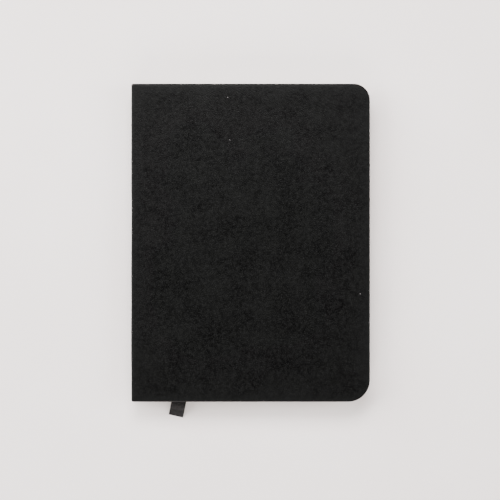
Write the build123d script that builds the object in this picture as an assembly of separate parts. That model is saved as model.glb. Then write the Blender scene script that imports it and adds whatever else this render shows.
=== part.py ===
from build123d import *
import math
import os

# A hard-backed sketchbook, closed and lying on its back cover.
# Frame: +X from the spine to the fore edge, +Y towards the head, +Z up.
# The origin is at the bottom centre of the closed book. All sizes are in millimetres.

# ---------------------------------------------------------------- driving dimensions
book_width = 152.4
book_height = 203.2
square = 3.0  # how far the boards stand out past the pages at the head, tail and fore edge

# case: two boards and a spine stiffener, all wrapped in leatherette
leatherette = 0.5
board_thickness = 2.0
turn_in_depth = 15.0  # leatherette folded over onto the inside of a board
head_corner_radius = 10.4
tail_corner_radius = 14.0
spine_corner_radius = 1.3
smallest_corner_radius = 0.5
cover_edge_rounding = 0.4
hinge_band = 2.05  # bare leatherette between the spine stiffener and a board
hinge_band_clearance = 0.05

spine_board_thickness = 0.8
spine_turn_in = 0.4
spine_end_gap = 0.55  # spine piece to the outer face of the back cover

# endpapers
endpaper = 0.15
endpaper_gap = 0.05
endpaper_fold_x = 3.0  # from the outer face of the spine
flyleaf_setback = 0.1  # the loose half starts this far past the fold
hollow_setback = 0.1  # the glued half steps down this far past the edge of the turn-ins

# text block: folded sheets nested into gatherings, sewn through their folds
signature_count = 10
sheets_per_signature = 4
leaf_thickness = 0.125
leaf_gap = 0.01
inner_fold_radius = 0.02
signature_gap = 0.03
ribbon_space = 0.4  # opening between the two middle gatherings
fold_x = 2.8  # outer face of the folds, from the outer face of the spine

# spine of the text block
thread_radius = 0.15
thread_x = 2.6
stitch_length = 24.0
stitch_stations = (-66.0, -22.0, 22.0, 66.0)
mull_x = 2.2
mull_thickness = 0.2
mull_half_height = 86.0
lining_x = 2.0
lining_thickness = 0.15
band_x = 2.1
band_thickness = 0.25
band_foot = 87.0
bead_radius = 0.6
bead_x = 2.9
bead_gap = 0.05  # between the bead and the ends of the pages

over_cut = 1.0  # how far a cutting solid reaches past what it cuts

# ribbon marker
ribbon_width = 9.5
ribbon_thickness = 0.3
anchor_x = 1.82
anchor_thickness = 0.2
anchor_foot = 87.5
anchor_top = 100.2

# The ribbon's route between the pages, from the head to the tail, as seen from above.
ribbon_route = [
    (-67.8, 98.6),
    (-54.5, 60.0),
    (-44.6, 20.2),
    (-39.5, -16.4),
    (-38.9, -48.9),
    (-40.3, -69.0),
    (-42.3, -83.5),
    (-44.3, -93.7),
    (-46.2, -102.0),
]
# Its free end goes straight on from there and sags to the surface that the book lies on.
# Each point is (distance past the route's last point, height of the ribbon's middle).
ribbon_sag = [(4.1, 7.2), (6.7, 2.9), (10.9, 0.2)]
ribbon_level_end = 5.0  # length before the route's last point that belongs to the sagging run

# ---------------------------------------------------------------- worked-out places
spine_face = -book_width / 2
fore_edge = book_width / 2
head = book_height / 2
tail = -book_height / 2
page_head = head - square
page_tail = tail + square
page_fore_edge = fore_edge - square

cover_thickness = leatherette + board_thickness + leatherette
signature_thickness = 2 * (
    sheets_per_signature * leaf_thickness
    + (sheets_per_signature - 1) * leaf_gap
    + inner_fold_radius
)
block_thickness = (
    signature_count * signature_thickness
    + (signature_count - 2) * signature_gap
    + ribbon_space
)
endpaper_stack = endpaper + endpaper_gap + endpaper + endpaper_gap
block_bottom = cover_thickness + endpaper_stack
book_thickness = block_thickness + 2 * block_bottom
block_top = book_thickness - block_bottom
middle = book_thickness / 2

board_spine_edge = spine_face + hinge_band + hinge_band_clearance
fold_face = spine_face + fold_x


def plate(left, right, low_y, high_y, tail_radius, head_radius, bottom, thickness):
    """A flat sheet whose two fore-edge corners are rounded."""
    centre = Pos((left + right) / 2, (low_y + high_y) / 2, bottom)
    outline = centre * Rectangle(right - left, high_y - low_y)
    fore_corners = outline.vertices().sort_by(Axis.X)[-2:].sort_by(Axis.Y)
    outline = fillet(fore_corners[0], tail_radius)
    head_corner = outline.vertices().sort_by(Axis.Y)[-2:].sort_by(Axis.X)[-1]
    outline = fillet(head_corner, head_radius)
    return extrude(outline, thickness, dir=(0, 0, 1))


def block(left, right, low_y, high_y, bottom, top):
    """A plain rectangular solid between two corners."""
    centre = Pos((left + right) / 2, (low_y + high_y) / 2, (bottom + top) / 2)
    return centre * Box(right - left, high_y - low_y, top - bottom)


def cover_plate(inset, left, bottom, thickness):
    """A plate with the outline of the cover, drawn in by inset on its three free sides."""
    return plate(
        left,
        fore_edge - inset,
        tail + inset,
        head - inset,
        max(tail_corner_radius - inset, smallest_corner_radius),
        max(head_corner_radius - inset, smallest_corner_radius),
        bottom,
        thickness,
    )


def page_plate(left, bottom, thickness):
    """A plate with the outline of a page."""
    return cover_plate(square, left, bottom, thickness)


def upside_down(solid):
    """Mirror a piece of the back cover into its place on the front cover."""
    return Pos(0, 0, book_thickness) * mirror(solid, Plane.XY)


# ---------------------------------------------------------------- case
def cover_board():
    """Greyboard of the back cover. It starts just past the hinge band."""
    return cover_plate(leatherette, board_spine_edge, leatherette, board_thickness)


def cover_leatherette():
    """Leatherette of the back cover with its three turn-ins, without the hinge band."""
    wrap = cover_plate(0, board_spine_edge, 0, cover_thickness)
    outside = wrap.faces().sort_by(Axis.Z)[0]
    spine_edge = outside.edges().sort_by(Axis.X)[0]
    rim = [edge for edge in outside.edges() if edge != spine_edge]
    wrap = fillet(rim, cover_edge_rounding)
    cut_from = board_spine_edge - over_cut
    space_for_board = cover_plate(leatherette, cut_from, leatherette, board_thickness)
    window = cover_plate(turn_in_depth, cut_from, leatherette, cover_thickness)
    return wrap - space_for_board - window


def hinge_strip(right):
    """Band of leatherette on the back cover's face, from the spine's corner to right."""
    strip = block(spine_face, right, tail, head, 0, leatherette)
    upright = strip.edges().filter_by(Axis.Z).sort_by(Axis.X)[:2]
    return fillet(upright, spine_corner_radius)


def pastedown():
    """Endpaper glued inside the back cover, over the turn-ins and down onto the board."""
    left = spine_face + endpaper_fold_x
    sunk_height = leatherette + board_thickness
    top = cover_thickness + endpaper
    edge_of_hollow = turn_in_depth + hollow_setback
    over_turn_ins = page_plate(left, cover_thickness, endpaper)
    down_to_board = cover_plate(edge_of_hollow, left, sunk_height, top - sunk_height)
    hollow_inset = edge_of_hollow + endpaper
    hollow = cover_plate(hollow_inset, left - over_cut, sunk_height + endpaper, cover_thickness)
    return over_turn_ins + down_to_board - hollow


def flyleaf():
    """Free half of the back endpaper."""
    bottom = cover_thickness + endpaper + endpaper_gap
    return page_plate(spine_face + endpaper_fold_x + flyleaf_setback, bottom, endpaper)


def spine_board():
    """Card that stiffens the spine."""
    inner = spine_face + leatherette + spine_board_thickness
    return block(
        spine_face + leatherette,
        inner,
        tail + leatherette,
        head - leatherette,
        spine_end_gap,
        book_thickness - spine_end_gap,
    )


def spine_leatherette():
    """Leatherette over the spine, turned in round the head and tail of its card."""
    depth = leatherette + spine_board_thickness + spine_turn_in
    bottom = spine_end_gap
    top = book_thickness - spine_end_gap
    wrap = block(spine_face, spine_face + depth, tail, head, bottom, top)
    outer_corners = wrap.edges().filter_by(Axis.Z).sort_by(Axis.X)[:2]
    wrap = fillet(outer_corners, spine_corner_radius)
    window = block(
        spine_face + leatherette,
        fore_edge,
        tail + turn_in_depth,
        head - turn_in_depth,
        bottom,
        top,
    )
    return wrap - window - spine_board()


# ---------------------------------------------------------------- text block
def folded_sheet(centre_z, outer_radius, inner_radius):
    """One folded sheet: two leaves joined by a round fold at the spine."""
    fold_centre = fold_face + signature_thickness / 2
    with BuildSketch(Plane.XZ) as profile:
        with BuildLine():
            Line((page_fore_edge, centre_z + outer_radius), (fold_centre, centre_z + outer_radius))
            ThreePointArc(
                (fold_centre, centre_z + outer_radius),
                (fold_centre - outer_radius, centre_z),
                (fold_centre, centre_z - outer_radius),
            )
            Line((fold_centre, centre_z - outer_radius), (page_fore_edge, centre_z - outer_radius))
            Line((page_fore_edge, centre_z - outer_radius), (page_fore_edge, centre_z - inner_radius))
            Line((page_fore_edge, centre_z - inner_radius), (fold_centre, centre_z - inner_radius))
            ThreePointArc(
                (fold_centre, centre_z - inner_radius),
                (fold_centre - inner_radius, centre_z),
                (fold_centre, centre_z + inner_radius),
            )
            Line((fold_centre, centre_z + inner_radius), (page_fore_edge, centre_z + inner_radius))
            Line((page_fore_edge, centre_z + inner_radius), (page_fore_edge, centre_z + outer_radius))
        make_face()
    sheet = extrude(profile.sketch, page_head, both=True)
    bottom = centre_z - signature_thickness
    trimmed_to = page_plate(fold_face - over_cut, bottom, 2 * signature_thickness)
    return (sheet & trimmed_to).solid()


def signature(centre_z):
    """One gathering: sheets nested inside each other."""
    sheets = []
    outer_radius = signature_thickness / 2
    for _ in range(sheets_per_signature):
        sheets.append(folded_sheet(centre_z, outer_radius, outer_radius - leaf_thickness))
        outer_radius -= leaf_thickness + leaf_gap
    return Compound(children=sheets)


def signature_centres():
    """Heights of the gatherings, from the first at the front to the last at the back."""
    pitch = signature_thickness + signature_gap
    half = signature_count // 2
    lowest = block_bottom + signature_thickness / 2
    back_half = [lowest + pitch * place for place in range(half)]
    front_half = [book_thickness - height for height in back_half]
    return front_half + back_half[::-1]


def sewing_thread(centre_z):
    """Stitches lying along the fold of one gathering, one at each sewing station."""
    stitches = []
    for station in stitch_stations:
        place = Pos(spine_face + thread_x, station, centre_z) * Rot(90, 0, 0)
        stitch = place * Cylinder(thread_radius, stitch_length)
        stitches.append(stitch.solid())
    return Compound(children=stitches)


def spine_layer(left, thickness):
    """A layer glued to the spine of the text block, between the two end bands."""
    return block(
        left,
        left + thickness,
        -mull_half_height,
        mull_half_height,
        block_bottom,
        block_top,
    )


def mull():
    """Open cloth glued over the sewing."""
    return spine_layer(spine_face + mull_x, mull_thickness)


def spine_lining():
    """Strip of strong paper glued over the mull."""
    return spine_layer(spine_face + lining_x, lining_thickness)


def end_band(end):
    """Woven band glued to the spine, with its bead over the page ends. end is +1 or -1."""
    left = spine_face + band_x
    bead_y = page_head + bead_gap + bead_radius
    tongue = block(left, left + band_thickness, band_foot, bead_y, block_bottom, block_top)
    bead = Pos(spine_face + bead_x, bead_y, middle) * Cylinder(bead_radius, block_thickness)
    band = tongue + bead
    if end < 0:
        band = mirror(band, Plane.XZ)
    return band


# ---------------------------------------------------------------- ribbon marker
def tangent_radii(points):
    """For each corner, the largest arc that 0.45 of its shorter run allows."""
    radii = []
    for before, corner, after in zip(points, points[1:], points[2:]):
        into = Vector(*corner) - Vector(*before)
        out = Vector(*after) - Vector(*corner)
        turn = math.radians(into.get_angle(out))
        radii.append(0.45 * min(into.length, out.length) / math.tan(turn / 2))
    return radii


def heading_at_tail():
    """Unit vector of the ribbon's last level run, seen from above."""
    return (Vector(*ribbon_route[-1]) - Vector(*ribbon_route[-2])).normalized()


def report_stretch(where, stretch, centre_line):
    """Print the length of a stretch of ribbon, and its volume against its section times that length."""
    expected = centre_line.length * ribbon_width * ribbon_thickness
    print("ribbon", where, "length", round(centre_line.length, 2), end=" ")
    print("volume", round(stretch.volume, 2), "expected", round(expected, 2))


def ribbon_between_pages():
    """The flat stretch that lies between the two middle gatherings."""
    level_end = Vector(*ribbon_route[-1]) - heading_at_tail() * ribbon_level_end
    points = ribbon_route[:-1] + [(level_end.X, level_end.Y)]
    radii = tangent_radii(points)
    print("ribbon radii seen from above", [round(radius, 1) for radius in radii])
    centre_line = Pos(0, 0, middle) * FilletPolyline(*points, radius=radii)
    start = Plane(origin=centre_line @ 0, x_dir=(0, 0, 1), z_dir=centre_line % 0)
    stretch = sweep(start * Rectangle(ribbon_thickness, ribbon_width), path=centre_line)
    report_stretch("between the pages", stretch, centre_line)
    return stretch


def ribbon_free_end():
    """The rest of the ribbon: out past the pages and down in an S to the surface below."""
    points = [(-ribbon_level_end, middle), (0, middle)] + ribbon_sag
    radii = tangent_radii(points)
    print("ribbon radii seen from the side", [round(radius, 1) for radius in radii])
    heading = heading_at_tail()
    across = Vector(heading.Y, -heading.X, 0)
    corner = Vector(*ribbon_route[-1])
    side_view = Plane(origin=corner, x_dir=heading, z_dir=across)
    centre_line = side_view * FilletPolyline(*points, radius=radii)
    start = Plane(origin=centre_line @ 0, x_dir=across, z_dir=centre_line % 0)
    stretch = sweep(start * Rectangle(ribbon_width, ribbon_thickness), path=centre_line)
    report_stretch("past the pages", stretch, centre_line)
    return stretch


def ribbon_marker():
    """The whole ribbon below the head of the pages."""
    return ribbon_between_pages() + ribbon_free_end()


def ribbon_anchor():
    """End of the ribbon glued to the spine of the text block at the head."""
    left = spine_face + anchor_x
    half = ribbon_width / 2
    return block(left, left + anchor_thickness, anchor_foot, anchor_top, middle - half, middle + half)


# ---------------------------------------------------------------- write the pieces
pieces = {
    "back_cover_leatherette": cover_leatherette() + hinge_strip(board_spine_edge),
    "back_board": cover_board(),
    "back_pastedown": pastedown(),
    "back_flyleaf": flyleaf(),
    "spine_leatherette": spine_leatherette(),
    "spine_board": spine_board(),
    "front_joint_leatherette": upside_down(hinge_strip(spine_face + hinge_band)),
    "front_cover_leatherette": upside_down(cover_leatherette()),
    "front_board": upside_down(cover_board()),
    "front_pastedown": upside_down(pastedown()),
    "front_flyleaf": upside_down(flyleaf()),
    "mull": mull(),
    "spine_lining": spine_lining(),
    "headband": end_band(1),
    "tailband": end_band(-1),
    "ribbon_marker": ribbon_marker(),
    "ribbon_anchor": ribbon_anchor(),
}
for number, height in enumerate(signature_centres(), start=1):
    pieces[f"signature_{number:02d}"] = signature(height)
    pieces[f"sewing_thread_{number:02d}"] = sewing_thread(height)

os.makedirs("parts", exist_ok=True)
for name, piece in pieces.items():
    export_step(piece, f"parts/{name}.step")
print("book thickness", round(book_thickness, 3), "pieces", len(pieces))
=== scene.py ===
import math

import bpy
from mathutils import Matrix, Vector, noise


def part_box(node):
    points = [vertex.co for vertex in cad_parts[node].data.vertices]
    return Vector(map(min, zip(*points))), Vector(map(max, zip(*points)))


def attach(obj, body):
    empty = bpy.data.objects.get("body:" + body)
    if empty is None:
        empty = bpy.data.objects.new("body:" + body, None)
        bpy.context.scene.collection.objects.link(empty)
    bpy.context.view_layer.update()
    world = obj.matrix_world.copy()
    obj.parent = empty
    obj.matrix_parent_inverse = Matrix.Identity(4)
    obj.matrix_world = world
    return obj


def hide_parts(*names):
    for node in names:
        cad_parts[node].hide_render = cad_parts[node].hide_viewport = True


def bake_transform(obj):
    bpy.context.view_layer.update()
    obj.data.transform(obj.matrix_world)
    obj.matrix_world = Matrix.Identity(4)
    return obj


# A hard-backed sketchbook with a ribbon marker, closed and lying on its back cover.
# Meshes are worked out in millimetres and written in metres.
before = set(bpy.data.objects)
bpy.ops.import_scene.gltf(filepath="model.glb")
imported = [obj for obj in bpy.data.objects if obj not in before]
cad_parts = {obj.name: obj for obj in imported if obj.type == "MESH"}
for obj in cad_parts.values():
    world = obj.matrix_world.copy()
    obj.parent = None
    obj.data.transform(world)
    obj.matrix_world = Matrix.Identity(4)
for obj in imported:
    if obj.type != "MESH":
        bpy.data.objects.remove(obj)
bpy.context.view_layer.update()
MM = 0.001


def box(node):
    """Lowest and highest corners of a CAD node, in millimetres."""
    low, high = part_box(node)
    return low / MM, high / MM


# ---------------------------------------------------------------- places read from the frame
back_low, back_high = box("back_cover_leatherette")
front_high = box("front_cover_leatherette")[1]
board_low = box("back_board")[0]
spine_high = box("spine_leatherette")[1]
mull_low, mull_high = box("mull")
lining_high = box("spine_lining")[1]
pastedown_low, pastedown_high = box("back_pastedown")
flyleaf_low, flyleaf_high = box("back_flyleaf")
band_low, band_high = box("headband")
anchor_low, anchor_high = box("ribbon_anchor")
page_low, page_high = box("signature_10")

spine_x = back_low.x
fore_x = back_high.x
tail_y = back_low.y
head_y = back_high.y
book_thickness = front_high.z
cover_thickness = back_high.z
leatherette = board_low.z
board_edge_x = board_low.x
square = fore_x - page_high.x

# ---------------------------------------------------------------- the case's own sizes
head_radius = 10.4  # fore-edge corners of the covers
tail_radius = 14.0
smallest_radius = 0.5  # of an outline drawn in from the edge
rim_radius = 1.2  # leatherette rounding over the outer edge of a board
inner_rim_radius = 0.6
turn_in = 15.0
turned_insets = [1.1, 1.8, 2.8, 4.2, 6.0, 8.5, 11.5, turn_in]  # where a turn-in's mesh has its lines
crown = 0.08  # the padded face stands a little higher than its edges
crown_fall = 2.2  # how quickly it falls to them
calm_edge = 8.0  # the face is less uneven within this distance of them
face_waves = ((0.09, 3.0, 52.0), (0.04, 8.0, 17.0))  # (height, seed, wavelength) of the uneven face
spine_waves = ((0.3, 4.2, 46.0), (0.12, 9.1, 15.0))  # and of the outline along the spine
pleat_height = 0.12
pleat_count = 9
spine_belly = 0.12  # the spine stands out this far halfway up its thickness
spine_corner_radius = 1.3
shell_thickness = 0.96 * leatherette
painted_sheen_start = 0.7  # painted sheen: the leatherette's colour is paler from this distance in from a cover's edge, most of all here, and less and less further in
painted_sheen_peak = 1.4  # most of all here,
painted_sheen_fade = 3.6  # and less and less further in

# ---------------------------------------------------------------- the ribbon's own sizes
ribbon_width = 9.5
ribbon_thickness = 0.3
ribbon_level = book_thickness / 2
selvedge_place = 0.93  # of half the ribbon's width
painted_light_start = 4.0  # painted light: past the covers' tail edge, the ribbon's colour gets paler from here over this distance, standing in for its end lying out of the cover's shade
painted_light_length = 8.0  # over this distance

# The ribbon's route from the head of the pages to the tail, as seen from above.
ribbon_route = [
    (-67.8, 98.6),
    (-54.5, 60.0),
    (-44.6, 20.2),
    (-39.5, -16.4),
    (-38.9, -48.9),
    (-40.3, -69.0),
    (-42.3, -83.5),
    (-44.3, -93.7),
    (-46.2, -102.0),
]
# Its free end, as (distance past the route's last point, height above the floor).
ribbon_sag = [(4.1, 7.2), (6.7, 2.9), (10.9, 0.2)]

# ---------------------------------------------------------------- camera
camera_lens = 100.0
camera_sensor = 36.0
view_width = 318.9  # seen at the height of the front cover
camera_x = -0.40
camera_y = -4.62

camera_data = bpy.data.cameras.new("camera")
camera_data.lens = camera_lens
camera_data.sensor_width = camera_sensor
camera = bpy.data.objects.new("camera", camera_data)
camera_height = book_thickness + view_width * camera_lens / camera_sensor
camera.location = (camera_x * MM, camera_y * MM, camera_height * MM)
bpy.context.collection.objects.link(camera)
bpy.context.scene.camera = camera


# ---------------------------------------------------------------- mesh tools
def make_object(name, points, faces, sharp_angle=40.0):
    """A mesh object from points in millimetres. Edges turning more than sharp_angle degrees stay crisp."""
    mesh = bpy.data.meshes.new(name)
    mesh.from_pydata([(point[0] * MM, point[1] * MM, point[2] * MM) for point in points], [], faces)
    mesh.polygons.foreach_set("use_smooth", [True] * len(mesh.polygons))
    mesh.set_sharp_from_angle(angle=math.radians(sharp_angle))
    mesh.update()
    made = bpy.data.objects.new(name, mesh)
    bpy.context.collection.objects.link(made)
    return made


def grid_faces(rows, columns):
    """Quads between points that are stored row by row."""
    faces = []
    for row in range(rows - 1):
        for column in range(columns - 1):
            corner = row * columns + column
            faces.append((corner, corner + 1, corner + columns + 1, corner + columns))
    return faces


def thickened(points, faces, thickness):
    """A closed shell: the surface, a copy of it behind its faces, and walls along its open edges."""
    normals = [Vector((0, 0, 0)) for _ in points]
    for face in faces:
        across = (points[face[2]] - points[face[0]]).cross(points[face[-1]] - points[face[1]])
        for index in face:
            normals[index] += across
    behind = [point - normal.normalized() * thickness for point, normal in zip(points, normals)]
    count = len(points)
    closed = list(faces)
    closed += [tuple(count + index for index in reversed(face)) for face in faces]
    directed = set()
    for face in faces:
        directed.update(zip(face, face[1:] + face[:1]))
    for first, second in sorted(directed):
        if (second, first) not in directed:
            closed.append((second, first, count + first, count + second))
    return points + behind, closed


def shell_object(name, points, faces, thickness, upside_down=False):
    """A thickened surface as an object, mirrored onto the front cover if upside_down."""
    points, faces = thickened(points, faces, thickness)
    if upside_down:
        points = [Vector((point.x, point.y, book_thickness - point.z)) for point in points]
        faces = [tuple(reversed(face)) for face in faces]
    return make_object(name, points, faces)


def arc(centre, radius, first_angle, last_angle, steps):
    """Points on an arc, with angles in degrees."""
    points = []
    for step in range(steps + 1):
        angle = math.radians(first_angle + (last_angle - first_angle) * step / steps)
        points.append((centre[0] + radius * math.cos(angle), centre[1] + radius * math.sin(angle)))
    return points


def evenly(first, last, steps):
    """Numbers from first to last."""
    return [first + (last - first) * step / steps for step in range(steps + 1)]


def smooth_step(value):
    """A smooth rise from 0 to 1."""
    value = min(max(value, 0.0), 1.0)
    return value * value * (3 - 2 * value)


def waver(x, y, seed, wavelength):
    """Smooth unevenness between about -1 and 1."""
    return noise.noise(Vector((x / wavelength, y / wavelength, seed)))


def uneven(x, y, waves):
    """Unevenness in millimetres, from waves given as (height, seed, wavelength)."""
    return sum(height * waver(x, y, seed, wavelength) for height, seed, wavelength in waves)


def store_painted_light(piece, painted_light_at):
    """Store how much painted light a piece has at each of its points, from 0 to 1."""
    attribute = piece.data.attributes.new("painted_light", "FLOAT", "POINT")
    for vertex, value in zip(piece.data.vertices, attribute.data):
        value.value = painted_light_at(vertex.co.x / MM, vertex.co.y / MM)


# ---------------------------------------------------------------- ribbon marker
def spline_points(name, points, resolution):
    """Points along the smooth NURBS line that has these points as its control points."""
    data = bpy.data.curves.new(name, "CURVE")
    data.dimensions = "3D"
    spline = data.splines.new("NURBS")
    spline.points.add(len(points) - 1)
    for place, point in zip(spline.points, points):
        place.co = (point.x, point.y, point.z, 1)
    spline.order_u = 3
    spline.use_endpoint_u = True
    spline.resolution_u = resolution
    helper = bpy.data.objects.new(name, data)
    bpy.context.collection.objects.link(helper)
    bpy.context.view_layer.update()
    line = bpy.data.meshes.new_from_object(helper)
    read = [vertex.co.copy() for vertex in line.vertices]
    bpy.data.objects.remove(helper)
    bpy.data.curves.remove(data)
    bpy.data.meshes.remove(line)
    return read


def ribbon_control_points():
    """The whole route, from the head of the pages to the floor."""
    points = [Vector((x, y, ribbon_level)) for x, y in ribbon_route]
    heading = (points[-1] - points[-2]).normalized()
    for distance, height in ribbon_sag:
        place = points[len(ribbon_route) - 1] + heading * distance
        points.append(Vector((place.x, place.y, height)))
    return points


def ribbon_section(steps):
    """Across the ribbon: (place from -1 to 1, height of the upper face over the middle)."""
    section = []
    for place in evenly(-1, 1, steps):
        selvedge = math.exp(-(((abs(place) - selvedge_place) / 0.05) ** 2))
        section.append((place, ribbon_thickness * (0.42 + 0.08 * selvedge)))
    return section


def ribbon_strip(name, path, across_at, width_at):
    """A flat woven strip along path, with thicker selvedges. across_at gives the direction of its width."""
    section = ribbon_section(36)
    upper = []
    lower = []
    for index, place in enumerate(path):
        before = path[max(index - 1, 0)]
        after = path[min(index + 1, len(path) - 1)]
        along = (after - before).normalized()
        across = across_at(index, along)
        normal = across.cross(along).normalized()
        half = width_at(index) / 2
        for side, height in section:
            flat = place + across * (side * half)
            upper.append(flat + normal * height)
            lower.append(flat - normal * height)
    columns = len(section)
    rows = len(path)
    count = len(upper)
    faces = grid_faces(rows, columns)
    faces += [tuple(count + index for index in reversed(face)) for face in grid_faces(rows, columns)]
    for row in range(rows - 1):
        left = row * columns
        right = left + columns - 1
        faces.append((count + left, count + left + columns, left + columns, left))
        faces.append((right + columns, count + right + columns, count + right, right))
    for column in range(columns - 1):
        last = (rows - 1) * columns + column
        faces.append((column, column + 1, count + column + 1, count + column))
        faces.append((count + last, count + last + 1, last + 1, last))
    return make_object(name, upper + lower, faces)


def level_across(index, along):
    """The ribbon's width stays level, square to where it heads."""
    return Vector((-along.y, along.x, 0)).normalized()


def full_width(index):
    """The ribbon is equally wide everywhere."""
    return ribbon_width


def ribbon_painted_light(x, y):
    """Painted light: the ribbon is coloured paler towards its loose end, so the part nearest the book
    carries painted shade from the cover.
    """
    return smooth_step((tail_y - painted_light_start - y) / painted_light_length)


ribbon_path = spline_points("ribbon_line", [point * MM for point in ribbon_control_points()], 24)
ribbon_line = [point / MM for point in ribbon_path]
ribbon = ribbon_strip("ribbon_marker_woven", ribbon_line, level_across, full_width)
# Painted light along the ribbon: paler at its loose end, darker near the book as painted shade from the
# cover.
store_painted_light(ribbon, ribbon_painted_light)
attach(ribbon, "gathering_06")
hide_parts("ribbon_marker")


# ---------------------------------------------------------------- outline of the covers
corner_steps = 14
side_steps = 96
hinge_columns = [0.0, 0.25, 0.5, board_edge_x - spine_x - spine_corner_radius]
face_columns = 76


def outline_rows(inset):
    """(height y, right-hand limit x) up a cover's outline, drawn in by inset."""
    lower = max(tail_radius - inset, smallest_radius)
    upper = max(head_radius - inset, smallest_radius)
    right = fore_x - inset
    bottom = tail_y + inset
    top = head_y - inset
    quarter = [math.radians(90 * step / corner_steps) for step in range(corner_steps)]
    rows = []
    for angle in quarter:
        rows.append((bottom + lower * (1 - math.cos(angle)), right - lower * (1 - math.sin(angle))))
    rows += [(y, right) for y in evenly(bottom + lower, top - upper, side_steps)]
    for angle in quarter[::-1]:
        rows.append((top - upper * (1 - math.cos(angle)), right - upper * (1 - math.sin(angle))))
    return rows


def row_places(left, right):
    """Places across a cover, closer together by the hinge."""
    start = left + hinge_columns[-1]
    return [left + place for place in hinge_columns[:-1]] + evenly(start, right, face_columns)


def free_edge(inset, left):
    """A cover's outline without its spine side: along the tail, up the fore edge and back along the head."""
    rows = outline_rows(inset)
    tail_line = [(x, rows[0][0]) for x in row_places(left, rows[0][1])]
    head_line = [(x, rows[-1][0]) for x in row_places(left, rows[-1][1])]
    return tail_line[:-1] + [(x, y) for y, x in rows] + head_line[:-1][::-1]


def in_corner(x, y):
    """The radius of the rounded corner that a point lies in, and how far out it is from the corner's centre
    in x and in y. None elsewhere."""
    for radius, centre_y, side in (
        (tail_radius, tail_y + tail_radius, -1),
        (head_radius, head_y - head_radius, 1),
    ):
        out_x = x - (fore_x - radius)
        out_y = (y - centre_y) * side
        if out_x > 0 and out_y > 0:
            return radius, out_x, out_y
    return None


def distance_in(x, y):
    """How far a point is in from the cover's three free sides, rounded corners included."""
    corner = in_corner(x, y)
    if corner is None:
        return min(fore_x - x, y - tail_y, head_y - y)
    radius, out_x, out_y = corner
    return radius - math.hypot(out_x, out_y)


def corner_pleat(x, y, inset):
    """Height of the small folds where turned-in leatherette is gathered round a corner."""
    corner = in_corner(x, y)
    if corner is None:
        return 0.0
    radius, out_x, out_y = corner
    angle = math.atan2(out_y, out_x)
    reach = smooth_step(inset / 1.5) * smooth_step((radius * 1.1 - inset) / radius)
    return pleat_height * abs(math.sin(pleat_count * angle)) * math.sin(2 * angle) * reach


# ---------------------------------------------------------------- case
def cover_wrap(name, front):
    """Leatherette over a board: the outer face, the rounded rim and the turn-ins."""
    left = spine_x + spine_corner_radius
    rows = outline_rows(rim_radius)
    points = []
    for y, right in rows:
        for x in row_places(left, right):
            rise = 0.0
            if front:
                inside = max(distance_in(x, y) - rim_radius, 0.0)
                off_spine = smooth_step((x - left) / calm_edge)
                calm = smooth_step(inside / calm_edge) * off_spine
                rise = crown * (1 - math.exp(-inside / crown_fall)) * off_spine
                rise += calm * uneven(x, y, face_waves)
            points.append(Vector((x, y, -rise)))
    columns = len(points) // len(rows)
    faces = [tuple(reversed(face)) for face in grid_faces(len(rows), columns)]
    last_row = (len(rows) - 1) * columns
    edge = list(range(columns - 1))
    edge += [row * columns + columns - 1 for row in range(len(rows))]
    edge += [last_row + column for column in range(columns - 2, -1, -1)]

    outer_rim = arc((rim_radius, rim_radius), rim_radius, 270, 180, 8)[1:]
    inner_centre = (inner_rim_radius, cover_thickness - inner_rim_radius)
    inner_rim = arc(inner_centre, inner_rim_radius, 180, 90, 6)
    profile = outer_rim + inner_rim + [(inset, cover_thickness) for inset in turned_insets]
    hinge = len(hinge_columns) - 1
    for number, (inset, depth) in enumerate(profile):
        outline = free_edge(inset, left)
        if number == len(outer_rim):
            edge = edge[hinge:-hinge]
        if number >= len(outer_rim):
            outline = outline[hinge:-hinge]
        ring = []
        for x, y in outline:
            pleat = corner_pleat(x, y, inset) if inset in turned_insets else 0.0
            ring.append(len(points))
            points.append(Vector((x, y, depth + pleat)))
        faces += list(zip(edge[1:], ring[1:], ring, edge))
        edge = ring
    return shell_object(name, points, faces, shell_thickness, upside_down=front)


def spine_waver(y):
    """The leatherette doesn't lie quite straight along the spine."""
    return uneven(0.0, y, spine_waves)


end_rounding = arc((rim_radius, rim_radius), rim_radius, 180, 270, 8)


def lengthways_stations(steps):
    """(y, depth behind the outer face) along the spine, rounded over at the tail and the head."""
    stations = [(tail_y + inset, depth) for inset, depth in end_rounding]
    stations += [(y, 0.0) for y in evenly(tail_y + rim_radius, head_y - rim_radius, steps)[1:-1]]
    stations += [(head_y - inset, depth) for inset, depth in reversed(end_rounding)]
    return stations


def corner_strip(name, first_angle, last_angle, centre_z):
    """Leatherette round part of the corner between the spine and a cover. Angles are in degrees."""
    centre_x = spine_x + spine_corner_radius
    points = []
    stations = lengthways_stations(140)
    angles = [math.radians(angle) for angle in evenly(first_angle, last_angle, 8)]
    for y, depth in stations:
        for angle in angles:
            radius = spine_corner_radius - depth
            x = centre_x + radius * math.cos(angle) + spine_waver(y) * math.cos(angle) ** 2
            points.append(Vector((x, y, centre_z + radius * math.sin(angle))))
    faces = [tuple(reversed(face)) for face in grid_faces(len(stations), len(angles))]
    return shell_object(name, points, faces, shell_thickness)


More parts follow.
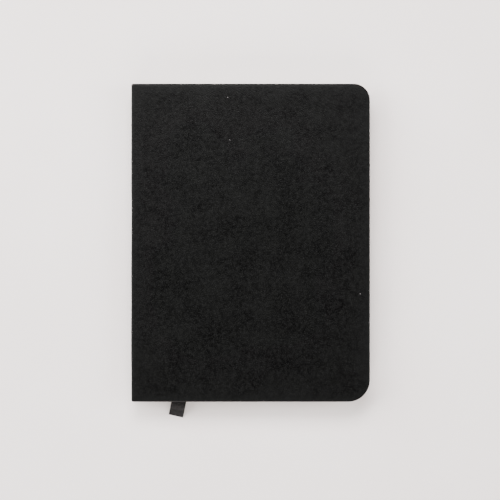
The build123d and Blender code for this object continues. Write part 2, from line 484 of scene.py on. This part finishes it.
def spine_wrap(name):
    """Leatherette over the spine's card, turned in round its head and tail."""
    inner_x = spine_high.x - spine_x
    inner_rounding = arc((inner_rim_radius, inner_x - inner_rim_radius), inner_rim_radius, 90, 180, 5)
    turned = [(inset, inner_x) for inset in (turn_in, 11.0, 7.0, 3.5, 1.5)] + inner_rounding
    stations = [(tail_y + inset, depth) for inset, depth in turned]
    stations += lengthways_stations(140)
    stations += [(head_y - inset, depth) for inset, depth in reversed(turned)]
    heights = evenly(spine_corner_radius, book_thickness - spine_corner_radius, 16)
    points = []
    for y, depth in stations:
        out = 1 - smooth_step(depth / rim_radius)
        for z in heights:
            belly = spine_belly * math.sin(math.pi * (z - heights[0]) / (heights[-1] - heights[0]))
            points.append(Vector((spine_x + depth + (spine_waver(y) - belly) * out, y, z)))
    return shell_object(name, points, grid_faces(len(stations), len(heights)), shell_thickness)


def painted_light(x, y):
    """Painted sheen: the leatherette is coloured paler along the edges of a cover, standing in for light
    caught there.
    """
    distance = min(distance_in(x, y), x - spine_x)
    onset = smooth_step((distance - painted_sheen_start) / (painted_sheen_peak - painted_sheen_start))
    return onset * math.exp(-max(distance - painted_sheen_peak, 0.0) / painted_sheen_fade)


def build_case():
    """All the leatherette. Returns its pieces."""
    lower_z = spine_corner_radius
    upper_z = book_thickness - spine_corner_radius
    front = cover_wrap("front_cover_wrap", True)
    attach(front, "front_cover")
    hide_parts("front_cover_leatherette")

    front_fold = corner_strip("front_hinge_fold", 90, 135, upper_z)
    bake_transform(front_fold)
    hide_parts("front_joint_leatherette")

    front_corner = corner_strip("front_spine_corner", 135, 180, upper_z)
    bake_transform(front_corner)
    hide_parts("front_joint_leatherette")

    spine = spine_wrap("spine_wrap")
    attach(spine, "spine")
    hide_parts("spine_leatherette")

    back_corner = corner_strip("back_spine_corner", 180, 270, lower_z)
    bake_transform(back_corner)
    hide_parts("back_cover_leatherette")

    back = cover_wrap("back_cover_wrap", False)
    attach(back, "back_cover")
    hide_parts("back_cover_leatherette")
    pieces = [front, front_fold, front_corner, spine, back_corner, back]
    # Painted sheen along the cover's edges, stored on every piece of leatherette.
    for piece in pieces:
        store_painted_light(piece, painted_light)
    return pieces


# ---------------------------------------------------------------- endpapers
paper_shell = 0.12
ridge_width = 1.5  # of the slope where the paper comes down from the turn-ins to the board
ridge_waves = ((0.35, 12.0, 11.0),)  # (height, seed, wavelength) of the line of that slope
paper_waves = ((0.01, 2.0, 9.0),)  # and of loose paper
sheet_setback = 0.1  # from the pages' head and tail
seam_height = 0.14  # where two turn-ins meet aslant at a corner
seam_width = 0.8
paper_top = pastedown_high.z
hollow_depth = cover_thickness - pastedown_low.z
paper_gap = 0.02  # between the leatherette and loose paper on it
fold_reach = 0.6  # the back fold starts this far from the pastedown's edge
board_gap = 0.03  # between the front board's side and the slack tucked down beside it
tuck_slant = 0.08  # how far the slack leaves the board's side on its way down
tuck_turn = 0.1  # it starts back up this far from the board's side, and this far over the leatherette
tuck_width = 0.3


def pastedown_height(x, y):
    """Height of the paper glued inside a cover: over the turn-ins, and down onto the board between them."""
    inside = distance_in(x, y) + uneven(x, y, ridge_waves)
    height = paper_top - hollow_depth * smooth_step((inside - turn_in) / ridge_width)
    for centre_y, side in ((tail_y, 1), (head_y, -1)):
        across = ((fore_x - x) - (y - centre_y) * side) / math.sqrt(2)
        if inside < turn_in:
            height += seam_height * math.exp(-((across / seam_width) ** 2))
    return height


def pastedown_sheet(name, front):
    """Endpaper glued inside a cover."""
    left = pastedown_low.x
    rows = outline_rows(square)
    columns = 110
    points = []
    for y, right in rows:
        for x in evenly(left, right, columns):
            points.append(Vector((x, y, pastedown_height(x, y))))
    faces = grid_faces(len(rows), columns + 1)
    return shell_object(name, points, faces, paper_shell, upside_down=front)


def hinge_sheet(name, section, front):
    """Paper with one cross-section all along the hinge."""
    heights = evenly(page_low.y + sheet_setback, page_high.y - sheet_setback, 90)
    points = []
    for y in heights:
        for x, z in section:
            points.append(Vector((spine_x + x, y, z + uneven(x, y, paper_waves))))
    faces = grid_faces(len(heights), len(section))
    return shell_object(name, points, faces, paper_shell, upside_down=front)


def build_endpapers():
    """Paper glued inside both covers and where it folds at the hinges. Returns the pieces."""
    pieces = []
    for name, node, body, front in (
        ("front_pastedown_sheet", "front_pastedown", "front_cover", True),
        ("back_pastedown_sheet", "back_pastedown", "back_cover", False),
    ):
        sheet = pastedown_sheet(name, front)
        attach(sheet, body)
        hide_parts(node)
        pieces.append(sheet)

    # The back endpaper folds back on itself beside the board.
    edge = pastedown_low.x - spine_x
    flyleaf_edge = flyleaf_low.x - spine_x
    low = cover_thickness + paper_gap
    high = flyleaf_high.z
    turn = (high - low) / 2
    section = [(x, low) for x in evenly(edge, edge - fold_reach, 5)]
    section += [(edge - fold_reach - x, z) for z, x in arc((low + turn, 0), turn, 180, 0, 8)[1:-1]]
    section += [(x, high) for x in evenly(edge - fold_reach, flyleaf_edge, 6)]
    back_fold = hinge_sheet("back_endpaper_fold", section, False)
    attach(back_fold, "back_cover")
    pieces.append(back_fold)

    # The front endpaper has its slack tucked between the board's edge and the spine: down beside the board
    # from the glued half, and back up to the loose half. Heights here are upside down, as on the back cover.
    board_side = board_edge_x - spine_x - board_gap
    far_side = board_side - tuck_width
    tuck = leatherette + tuck_turn
    section = [(x, paper_top) for x in evenly(edge, board_side, 6)]
    section += list(zip(evenly(board_side, board_side - tuck_slant, 12), evenly(paper_top, tuck, 12)))[1:]
    section += list(zip(evenly(board_side - tuck_turn, far_side, 16), evenly(tuck, high, 16)))
    front_fold = hinge_sheet("front_endpaper_fold", section[::-1], True)
    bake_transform(front_fold)
    pieces.append(front_fold)
    section = [(x, high) for x in evenly(far_side, flyleaf_edge, 7)]
    loose_edge = hinge_sheet("front_flyleaf_edge", section, True)
    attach(loose_edge, "front_joint")
    pieces.append(loose_edge)
    return pieces


# ---------------------------------------------------------------- spine of the text block
thinnest_strip = 0.02  # a shorter remainder at an end is left out
gatherings = [f"gathering_{number:02d}" for number in range(10, 0, -1)]  # from the back to the front
gathering_middles = []
for number in range(10, 0, -1):
    signature_low, signature_high = box(f"signature_{number:02d}")
    gathering_middles.append((signature_low.z + signature_high.z) / 2)


def strips_on_spine(stem, node, low_z, high_z, build):
    """Pieces on the spine of the text block: one between each two neighbouring gatherings, and the ends.
    build(name, bottom, top) makes the piece between two heights. Returns the pieces."""
    pieces = []
    levels = [low_z] + gathering_middles + [high_z]
    for place, (bottom, top) in enumerate(zip(levels, levels[1:])):
        if top < low_z or bottom > high_z:
            continue
        bottom_here = max(bottom, low_z)
        top_here = min(top, high_z)
        if top_here - bottom_here < thinnest_strip:
            continue
        piece = build(f"{stem}_{place:02d}", bottom_here, top_here)
        if place == 0:
            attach(piece, gatherings[0])
        elif place == len(gatherings):
            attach(piece, gatherings[-1])
        else:
            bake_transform(piece)
        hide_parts(node)
        pieces.append(piece)
    return pieces


def cloth_strip(name, bottom, top, layer, half_height):
    """A strip of glued cloth or paper that faces the spine."""
    outer, thickness = layer
    heights = evenly(bottom, top, 8)
    stations = evenly(-half_height, half_height, 120)
    points = []
    for y in stations:
        for z in heights:
            points.append(Vector((spine_x + outer, y, z)))
    return shell_object(name, points, grid_faces(len(stations), len(heights)), thickness)


def prism(name, loops):
    """A closed solid through loops of points of equal count, capped at both ends."""
    count = len(loops[0])
    points = [point for loop in loops for point in loop]
    faces = []
    for row in range(len(loops) - 1):
        for place in range(count):
            after = (place + 1) % count
            low = row * count
            faces.append((low + place, low + after, low + count + after, low + count + place))
    last = (len(loops) - 1) * count
    faces.append(tuple(range(count))[::-1])
    faces.append(tuple(last + place for place in range(count)))
    return make_object(name, points, faces)


bead_radius = 0.6
bead_ridge = 0.05  # the threads wound round the bead stand out this far
bead_pitch = 0.55  # from one thread to the next
bead_lumps = 0.03
tongue_thickness = 0.18  # of the flat part glued below the bead


def band_loop(z, side):
    """Outline of an end band seen along the spine: a flat tongue and a ridged bead over the page ends."""
    bead_x = band_high.x - bead_radius
    bead_y = band_high.y - bead_radius
    outer = spine_x + lining_layer[0]
    inner = outer + tongue_thickness
    foot = band_low.y
    ridge = bead_ridge * math.cos(2 * math.pi * z / bead_pitch)
    outline = [(inner, y) for y in evenly(foot, bead_y - bead_radius * 0.6, 6)]
    for angle in evenly(-140, 170, 22):
        turned = math.radians(angle)
        radius = bead_radius - bead_lumps + ridge + bead_lumps * math.sin(5 * turned)
        outline.append((bead_x + radius * math.cos(turned), bead_y + radius * math.sin(turned)))
    outline += [(outer, y) for y in evenly(bead_y - 0.1, foot, 6)]
    return [Vector((x, y * side, z)) for x, y in outline][::side]


def band_piece(name, bottom, top, side):
    """The part of an end band between two heights."""
    steps = max(3, round((top - bottom) / 0.1))
    return prism(name, [band_loop(z, side) for z in evenly(bottom, top, steps)])


# The ribbon is gathered as it passes the headband, and its glued end fans out below that.
anchor_waist = (ribbon_level - 1.3, ribbon_level - 0.2)  # its lowest and highest point at the band
anchor_clearance = 1.2  # from the top of the band
anchor_spread = 92.5  # it is at its widest from this y down
anchor_fan = 3.2  # its upper edge slopes down to there over this height along the spine's thickness
gathered_width = 0.9  # of the ribbon as it passes under the band


def anchor_piece(name, bottom, top):
    """The part of the ribbon's glued end between two heights."""
    outer, thickness = ribbon_layer
    heights = evenly(bottom, top, 6)
    shares = evenly(0, 1, 14)
    points = []
    for share in shares:
        for z in heights:
            off = max(anchor_waist[0] - z, z - anchor_waist[1], 0.0)
            highest = band_high.y - anchor_clearance
            limit = highest - (highest - anchor_spread) * smooth_step(off / anchor_fan)
            y = anchor_low.y + (limit - anchor_low.y) * share
            points.append(Vector((spine_x + outer, y, z)))
    return shell_object(name, points, grid_faces(len(shares), len(heights)), thickness)


# Each layer's outer face, from the outer face of the spine, and its thickness. All lie on the pages' side of
# the line that the block opens about, so that its two halves don't press through each other.
opening_x = mull_low.x - spine_x
ribbon_layer = (opening_x + 0.005, 0.045)
lining_layer = (opening_x + 0.055, 0.06)
mull_layer = (opening_x + 0.12, 0.12)


def build_spine_of_block():
    """Cloth, paper, end bands and the ribbon's glued end, in strips that follow the gatherings.
    Returns lists of pieces by slot."""
    def mull_strip(name, bottom, top):
        return cloth_strip(name, bottom, top, mull_layer, mull_high.y)

    def lining_strip(name, bottom, top):
        return cloth_strip(name, bottom, top, lining_layer, lining_high.y)

    def headband_piece(name, bottom, top):
        return band_piece(name, bottom, top, 1)

    def tailband_piece(name, bottom, top):
        return band_piece(name, bottom, top, -1)

    low_z = mull_low.z
    high_z = mull_high.z
    made = {}
    for stem, node, slot, bottom, top, build in (
        ("mull_cloth", "mull", "mull", low_z, high_z, mull_strip),
        ("spine_paper", "spine_lining", "lining", low_z, high_z, lining_strip),
        ("headband_weave", "headband", "end_band", low_z, high_z, headband_piece),
        ("tailband_weave", "tailband", "end_band", low_z, high_z, tailband_piece),
        ("ribbon_glued_end", "ribbon_anchor", "ribbon", anchor_low.z, anchor_high.z, anchor_piece),
    ):
        made.setdefault(slot, [])
        made[slot] += strips_on_spine(stem, node, bottom, top, build)
    return made


def ribbon_turn():
    """The ribbon from the pages to under the headband, gathered and turned upright on the way."""
    first = ribbon_line[0]
    heading = (ribbon_line[1] - ribbon_line[0]).normalized()
    last = Vector((band_high.x - 0.5, page_high.y + 0.35, ribbon_level - 0.2))
    flat = level_across(0, heading) * ribbon_width
    upright = Vector((0, 0, -gathered_width))
    steps = 16
    widths = [flat.lerp(upright, smooth_step(step / steps)) for step in range(steps + 1)]
    path = [first.lerp(last, step / steps) for step in range(steps + 1)]
    piece = ribbon_strip(
        "ribbon_turned_end",
        path,
        lambda index, along: widths[index].normalized(),
        lambda index: widths[index].length,
    )
    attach(piece, "gathering_06")
    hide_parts("ribbon_anchor")
    return piece


# ---------------------------------------------------------------- materials
class Recipe:
    """A material being put together from nodes."""

    def __init__(self, name, colour, roughness, sheen=0.0, specular=0.5):
        self.material = bpy.data.materials.new(name)
        self.material.use_nodes = True
        self.nodes = self.material.node_tree.nodes
        self.links = self.material.node_tree.links
        self.shader = self.nodes["Principled BSDF"]
        self.shader.inputs["Base Color"].default_value = (*colour, 1)
        self.shader.inputs["Roughness"].default_value = roughness
        self.shader.inputs["Sheen Weight"].default_value = sheen
        self.shader.inputs["Specular IOR Level"].default_value = specular
        self.place = self.nodes.new("ShaderNodeTexCoord").outputs["Object"]
        self.normal = None

    def stretched(self, scale):
        """The object's own coordinates, scaled by three numbers."""
        mapping = self.nodes.new("ShaderNodeMapping")
        mapping.inputs["Scale"].default_value = scale
        self.links.new(self.place, mapping.inputs["Vector"])
        return mapping.outputs["Vector"]

    def noise(self, scale, detail=2.0, place=None):
        """Soft noise between 0 and 1, with scale in lumps per metre."""
        node = self.nodes.new("ShaderNodeTexNoise")
        node.inputs["Scale"].default_value = scale
        node.inputs["Detail"].default_value = detail
        self.links.new(place or self.place, node.inputs["Vector"])
        return node.outputs["Fac"]

    def cells(self, scale, feature="F1", output="Distance", place=None):
        """Distances to scattered points."""
        node = self.nodes.new("ShaderNodeTexVoronoi")
        node.feature = feature
        node.inputs["Scale"].default_value = scale
        self.links.new(place or self.place, node.inputs["Vector"])
        return node.outputs[output]

    def stored(self, name):
        """A value stored on the points of the mesh."""
        node = self.nodes.new("ShaderNodeAttribute")
        node.attribute_name = name
        return node.outputs["Fac"]

    def facing_up(self):
        """1 on flat pages, which face along the object's own Z, and 0 on their edges."""
        axes = self.nodes.new("ShaderNodeSeparateXYZ")
        self.links.new(self.nodes["Texture Coordinate"].outputs["Normal"], axes.inputs["Vector"])
        return self.maths("GREATER_THAN", self.maths("ABSOLUTE", axes.outputs["Z"], 0.0), 0.7)

    def waves(self, scale, direction, distortion=0.0):
        """Parallel ridges between 0 and 1."""
        node = self.nodes.new("ShaderNodeTexWave")
        node.bands_direction = direction
        node.inputs["Scale"].default_value = scale
        node.inputs["Distortion"].default_value = distortion
        self.links.new(self.place, node.inputs["Vector"])
        return node.outputs["Fac"]

    def maths(self, operation, first, second):
        """Two values, or a value and a number, put together."""
        node = self.nodes.new("ShaderNodeMath")
        node.operation = operation
        self.links.new(first, node.inputs[0])
        if isinstance(second, (int, float)):
            node.inputs[1].default_value = second
        else:
            self.links.new(second, node.inputs[1])
        return node.outputs["Value"]

    def between(self, value, low, high, low_at=0.3, high_at=0.7):
        """A colour that runs from low to high as value runs from low_at to high_at."""
        node = self.nodes.new("ShaderNodeValToRGB")
        node.color_ramp.elements[0].position = low_at
        node.color_ramp.elements[1].position = high_at
        node.color_ramp.elements[0].color = (*low, 1)
        node.color_ramp.elements[1].color = (*high, 1)
        self.links.new(value, node.inputs["Fac"])
        return node.outputs["Color"]

    def mixed(self, share, first, second):
        """Two colours mixed by share."""
        node = self.nodes.new("ShaderNodeMix")
        node.data_type = "RGBA"
        self.links.new(share, node.inputs["Factor"])
        self.links.new(first, node.inputs[6])
        if isinstance(second, tuple):
            node.inputs[7].default_value = (*second, 1)
        else:
            self.links.new(second, node.inputs[7])
        return node.outputs[2]

    def colour(self, socket):
        """The material's colour from a socket."""
        self.links.new(socket, self.shader.inputs["Base Color"])

    def roughness(self, value, low, high):
        """Roughness that runs from low to high with value."""
        node = self.nodes.new("ShaderNodeMapRange")
        node.inputs["To Min"].default_value = low
        node.inputs["To Max"].default_value = high
        self.links.new(value, node.inputs["Value"])
        self.links.new(node.outputs["Result"], self.shader.inputs["Roughness"])

    def raised(self, height, depth_mm, strength=1.0):
        """Relief from a value, with its depth in millimetres."""
        node = self.nodes.new("ShaderNodeBump")
        node.inputs["Distance"].default_value = depth_mm * MM
        node.inputs["Strength"].default_value = strength
        self.links.new(height, node.inputs["Height"])
        if self.normal is not None:
            self.links.new(self.normal, node.inputs["Normal"])
        self.normal = node.outputs["Normal"]
        self.links.new(self.normal, self.shader.inputs["Normal"])


def leatherette_material():
    """Matt black imitation leather: pebbled grain, soft clouds, a painted sheen that colours the edges
    paler, and specks of dust.
    """
    recipe = Recipe("black_leatherette", (0.003, 0.003, 0.003), 0.36, specular=0.08)
    clouds = recipe.noise(60, 6.0)
    mottle = recipe.noise(420, 4.0)
    grain = recipe.noise(1500, 3.0)
    pebbles = recipe.cells(1500, "SMOOTH_F1")
    base = recipe.between(clouds, (0.0005, 0.0005, 0.0005), (0.0026, 0.0027, 0.0026), 0.36, 0.66)
    worn = recipe.between(mottle, (0, 0, 0), (0.7, 0.7, 0.7), 0.42, 0.72)
    tips = recipe.between(grain, (0, 0, 0), (0.9, 0.9, 0.9), 0.50, 0.74)
    faded = recipe.mixed(worn, base, (0.0049, 0.0051, 0.0049))
    flecked = recipe.mixed(tips, faded, (0.0100, 0.0103, 0.0100))
    # Painted sheen: the colour is paler along the cover's edges, standing in for light caught by the rounded
    # leatherette.
    painted_sheen_share = recipe.maths("MULTIPLY", recipe.stored("painted_light"), recipe.maths("ADD", mottle, 0.3))
    with_painted_sheen = recipe.mixed(painted_sheen_share, flecked, (0.0050, 0.0052, 0.0051))
    dust_here = recipe.maths("LESS_THAN", recipe.cells(58), 0.016)
    recipe.colour(recipe.mixed(dust_here, with_painted_sheen, (0.15, 0.14, 0.14)))
    recipe.roughness(mottle, 0.28, 0.44)
    recipe.raised(clouds, 0.18, 0.4)
    recipe.raised(mottle, 0.10, 0.5)
    recipe.raised(pebbles, 0.10, 0.7)
    recipe.raised(grain, 0.07, 0.7)
    return recipe.material


def ribbon_material():
    """Woven black ribbon with fine ribs across it, uneven in tone, and painted paler at its loose end, as
    light out of the cover's shade.
    """
    recipe = Recipe("black_ribbon", (0.006, 0.0055, 0.0055), 0.85, sheen=0.03, specular=0.12)
    ribs = recipe.waves(1150, "Y", 0.6)
    threads = recipe.waves(1400, "X", 0.8)
    weave = recipe.maths("MULTIPLY", ribs, threads)
    fluff = recipe.noise(1700, 3.0)
    patches = recipe.noise(1300, 3.0)
    base = recipe.between(patches, (0.0014, 0.0013, 0.0014), (0.0200, 0.0182, 0.0182), 0.40, 0.68)
    woven = recipe.mixed(recipe.maths("MULTIPLY", weave, 0.35), base, (0.020, 0.0185, 0.018))
    # Painted light: paler towards the loose end, with the darker part near the book standing for the cover's
    # shade.
    painted_light_share = recipe.maths("MULTIPLY", recipe.stored("painted_light"), recipe.maths("MULTIPLY", fluff, 0.9))
    recipe.colour(recipe.mixed(painted_light_share, woven, (0.026, 0.025, 0.0245)))
    recipe.roughness(fluff, 0.75, 0.95)
    recipe.raised(ribs, 0.05, 0.7)
    recipe.raised(threads, 0.03, 0.6)
    recipe.raised(fluff, 0.06, 0.6)
    return recipe.material


def paper_material(name, light, dark, fibre):
    """Paper with soft mottling and short fibres."""
    recipe = Recipe(name, light, 0.9, specular=0.25)
    fibres = recipe.noise(1.0, 4.0, recipe.stretched((fibre, fibre * 0.35, fibre)))
    recipe.colour(recipe.between(fibres, dark, light, 0.2, 0.55))
    recipe.roughness(fibres, 0.82, 0.96)
    recipe.raised(fibres, 0.015, 0.6)
    return recipe.material


def page_material():
    """Drawing paper whose cut edges show the separate leaves."""
    recipe = Recipe("drawing_paper", (0.67, 0.63, 0.55), 0.9, specular=0.2)
    leaves = recipe.noise(1.0, 2.0, recipe.stretched((25, 25, 7400)))
    streaks = recipe.noise(1.0, 3.0, recipe.stretched((45, 45, 2600)))
    fibres = recipe.noise(1500, 4.0)
    lines = recipe.maths("MULTIPLY", recipe.maths("ADD", leaves, streaks), 0.5)
    edge = recipe.between(lines, (0.42, 0.38, 0.31), (0.74, 0.70, 0.61), 0.38, 0.54)
    face = recipe.between(fibres, (0.63, 0.59, 0.505), (0.71, 0.67, 0.59), 0.35, 0.65)
    recipe.colour(recipe.mixed(recipe.facing_up(), edge, face))
    recipe.roughness(fibres, 0.85, 0.97)
    recipe.raised(leaves, 0.03, 0.7)
    recipe.raised(fibres, 0.012, 0.5)
    return recipe.material


def board_material():
    """Grey board pressed from waste paper."""
    recipe = Recipe("grey_board", (0.24, 0.22, 0.20), 0.95, specular=0.2)
    flecks = recipe.noise(1400, 5.0)
    recipe.colour(recipe.between(flecks, (0.15, 0.14, 0.125), (0.34, 0.32, 0.285), 0.35, 0.65))
    recipe.roughness(flecks, 0.88, 0.98)
    recipe.raised(flecks, 0.05, 0.8)
    return recipe.material


def cloth_material(name, light, dark, threads_per_metre, depth_mm):
    """Plain woven cloth."""
    recipe = Recipe(name, light, 0.9, sheen=0.1, specular=0.2)
    lengthways = recipe.waves(threads_per_metre, "Y", 0.7)
    crossways = recipe.waves(threads_per_metre, "Z", 0.7)
    weave = recipe.maths("MULTIPLY", lengthways, crossways)
    fluff = recipe.noise(2200, 3.0)
    recipe.colour(recipe.between(weave, dark, light, 0.05, 0.6))
    recipe.roughness(fluff, 0.8, 0.96)
    recipe.raised(weave, depth_mm, 0.9)
    recipe.raised(fluff, 0.02, 0.5)
    return recipe.material


def band_material():
    """Black and cream threads wound side by side."""
    recipe = Recipe("end_band_weave", (0.4, 0.37, 0.3), 0.75, sheen=0.2, specular=0.3)
    turns = recipe.waves(285, "Z", 0.4)
    strands = recipe.waves(1500, "Z", 1.0)
    fluff = recipe.noise(3000, 3.0)
    recipe.colour(recipe.between(turns, (0.016, 0.016, 0.017), (0.60, 0.55, 0.46), 0.42, 0.58))
    recipe.roughness(fluff, 0.6, 0.85)
    recipe.raised(strands, 0.05, 0.8)
    recipe.raised(fluff, 0.02, 0.5)
    return recipe.material


def thread_material():
    """Waxed linen thread, twisted from plies."""
    recipe = Recipe("linen_thread", (0.66, 0.60, 0.48), 0.7, specular=0.35)
    twist = recipe.waves(900, "DIAGONAL", 0.5)
    fluff = recipe.noise(2600, 3.0)
    recipe.colour(recipe.between(twist, (0.46, 0.41, 0.31), (0.72, 0.67, 0.56), 0.2, 0.7))
    recipe.roughness(fluff, 0.55, 0.8)
    recipe.raised(twist, 0.06, 0.8)
    return recipe.material


def floor_material():
    """Pale matt table top with a faint warm mottling."""
    recipe = Recipe("pale_table", (0.92, 0.85, 0.83), 0.6, specular=0.3)
    clouds = recipe.noise(9, 5.0)
    recipe.colour(recipe.between(clouds, (0.90, 0.83, 0.805), (0.94, 0.88, 0.86), 0.3, 0.7))
    recipe.roughness(clouds, 0.55, 0.7)
    return recipe.material


def paint(objects, material):
    """Give these objects this one material."""
    for piece in objects:
        piece.data.materials.clear()
        piece.data.materials.append(material)


# ---------------------------------------------------------------- the whole sketchbook
leather_pieces = build_case()
endpaper_pieces = build_endpapers()
block_pieces = build_spine_of_block()
turned_ribbon = ribbon_turn()

endpaper_look = paper_material("endpaper", (0.70, 0.685, 0.63), (0.56, 0.54, 0.49), 1300)
page_look = page_material()
board_look = board_material()
thread_look = thread_material()
paint(leather_pieces, leatherette_material())
paint([ribbon, turned_ribbon] + block_pieces["ribbon"], ribbon_material())
mull_look = cloth_material("mull_cloth", (0.72, 0.68, 0.58), (0.42, 0.38, 0.30), 480, 0.08)
lining_look = paper_material("kraft_lining", (0.46, 0.33, 0.21), (0.30, 0.21, 0.13), 1100)
paint(block_pieces["mull"], mull_look)
paint(block_pieces["lining"], lining_look)
paint(block_pieces["end_band"], band_material())
paint(endpaper_pieces, endpaper_look)
paint([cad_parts[name] for name in ("front_flyleaf", "back_flyleaf")], endpaper_look)
paint([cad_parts[name] for name in ("front_board", "back_board", "spine_board")], board_look)
for number in range(1, 11):
    paint([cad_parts[f"signature_{number:02d}"]], page_look)
    paint([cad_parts[f"sewing_thread_{number:02d}"]], thread_look)


# ---------------------------------------------------------------- floor and light
def build_floor():
    """A large plain table top just under the book."""
    reach = 6000.0
    gap = 0.02
    steps = 24
    places = evenly(-reach, reach, steps)
    points = [Vector((x, y, -gap)) for y in places for x in places]
    floor = make_object("table_top", points, grid_faces(steps + 1, steps + 1))
    paint([floor], floor_material())


def area_light(name, place, target, width, height, power, colour):
    """A soft rectangular light. Place and size are in millimetres."""
    data = bpy.data.lights.new(name, "AREA")
    data.shape = "RECTANGLE"
    data.size = width * MM
    data.size_y = height * MM
    data.energy = power
    data.color = colour
    light = bpy.data.objects.new(name, data)
    light.location = Vector(place) * MM
    light.rotation_euler = (Vector(target) - Vector(place)).to_track_quat("-Z", "Y").to_euler()
    light.visible_camera = False
    bpy.context.collection.objects.link(light)


build_floor()
area_light("window", (-1150, 520, 900), (0, 0, 0), 1300, 1500, 41, (1.0, 0.975, 0.96))
area_light("fore_edge_side", (1300, -200, 900), (0, 0, 0), 1400, 1200, 9, (1.0, 0.965, 0.955))
area_light("tail_side", (-100, -1300, 800), (0, 0, 0), 1500, 900, 27, (1.0, 0.965, 0.955))
area_light("head_side", (-60, 760, 1000), (0, 60, 0), 700, 500, 26, (1.0, 0.98, 0.98))
area_light("spine_side", (-900, 100, 900), (-60, 0, 0), 500, 700, 6, (0.94, 0.98, 1.0))
area_light("fore_edge_high", (900, 100, 900), (60, 0, 0), 500, 700, 6, (1.0, 0.98, 0.98))
world = bpy.data.worlds.new("soft_sky")
world.use_nodes = True
world.node_tree.nodes["Background"].inputs["Color"].default_value = (1.0, 0.975, 0.965, 1)
world.node_tree.nodes["Background"].inputs["Strength"].default_value = 0.13
bpy.context.scene.world = world
